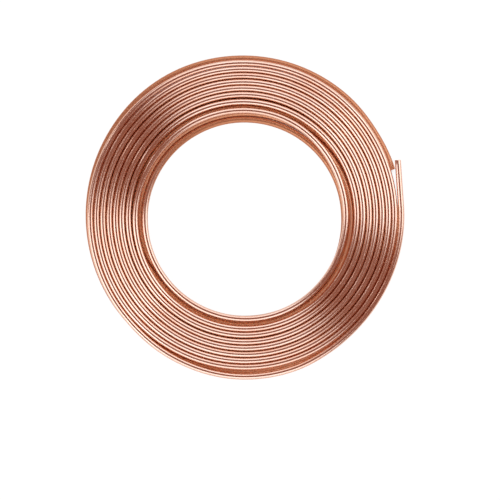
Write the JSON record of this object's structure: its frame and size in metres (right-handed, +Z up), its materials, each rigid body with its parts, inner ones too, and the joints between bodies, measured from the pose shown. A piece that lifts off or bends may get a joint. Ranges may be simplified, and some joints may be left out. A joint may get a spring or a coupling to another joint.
{
  "type": "copper tube coil",
  "caption": "Soft copper tube wound into a flat two-layer ring with an open centre; both plain cut ends lie at the outside, one of them leaving the ring straight.",
  "frame": {"origin": "on the coil's axis, at the level of the floor it lies on", "axes": "+Z up along the coil's axis; +X to the right and +Y to the top of the picture, with both cut ends on the right"},
  "size_m": [0.3304, 0.3298, 0.0128],
  "materials": {
    "copper": "bright drawn copper, lightly brushed along the tube"
  },
  "bodies": {
    "root": {"tube_coil": "copper"}
  },
  "joints": []
}
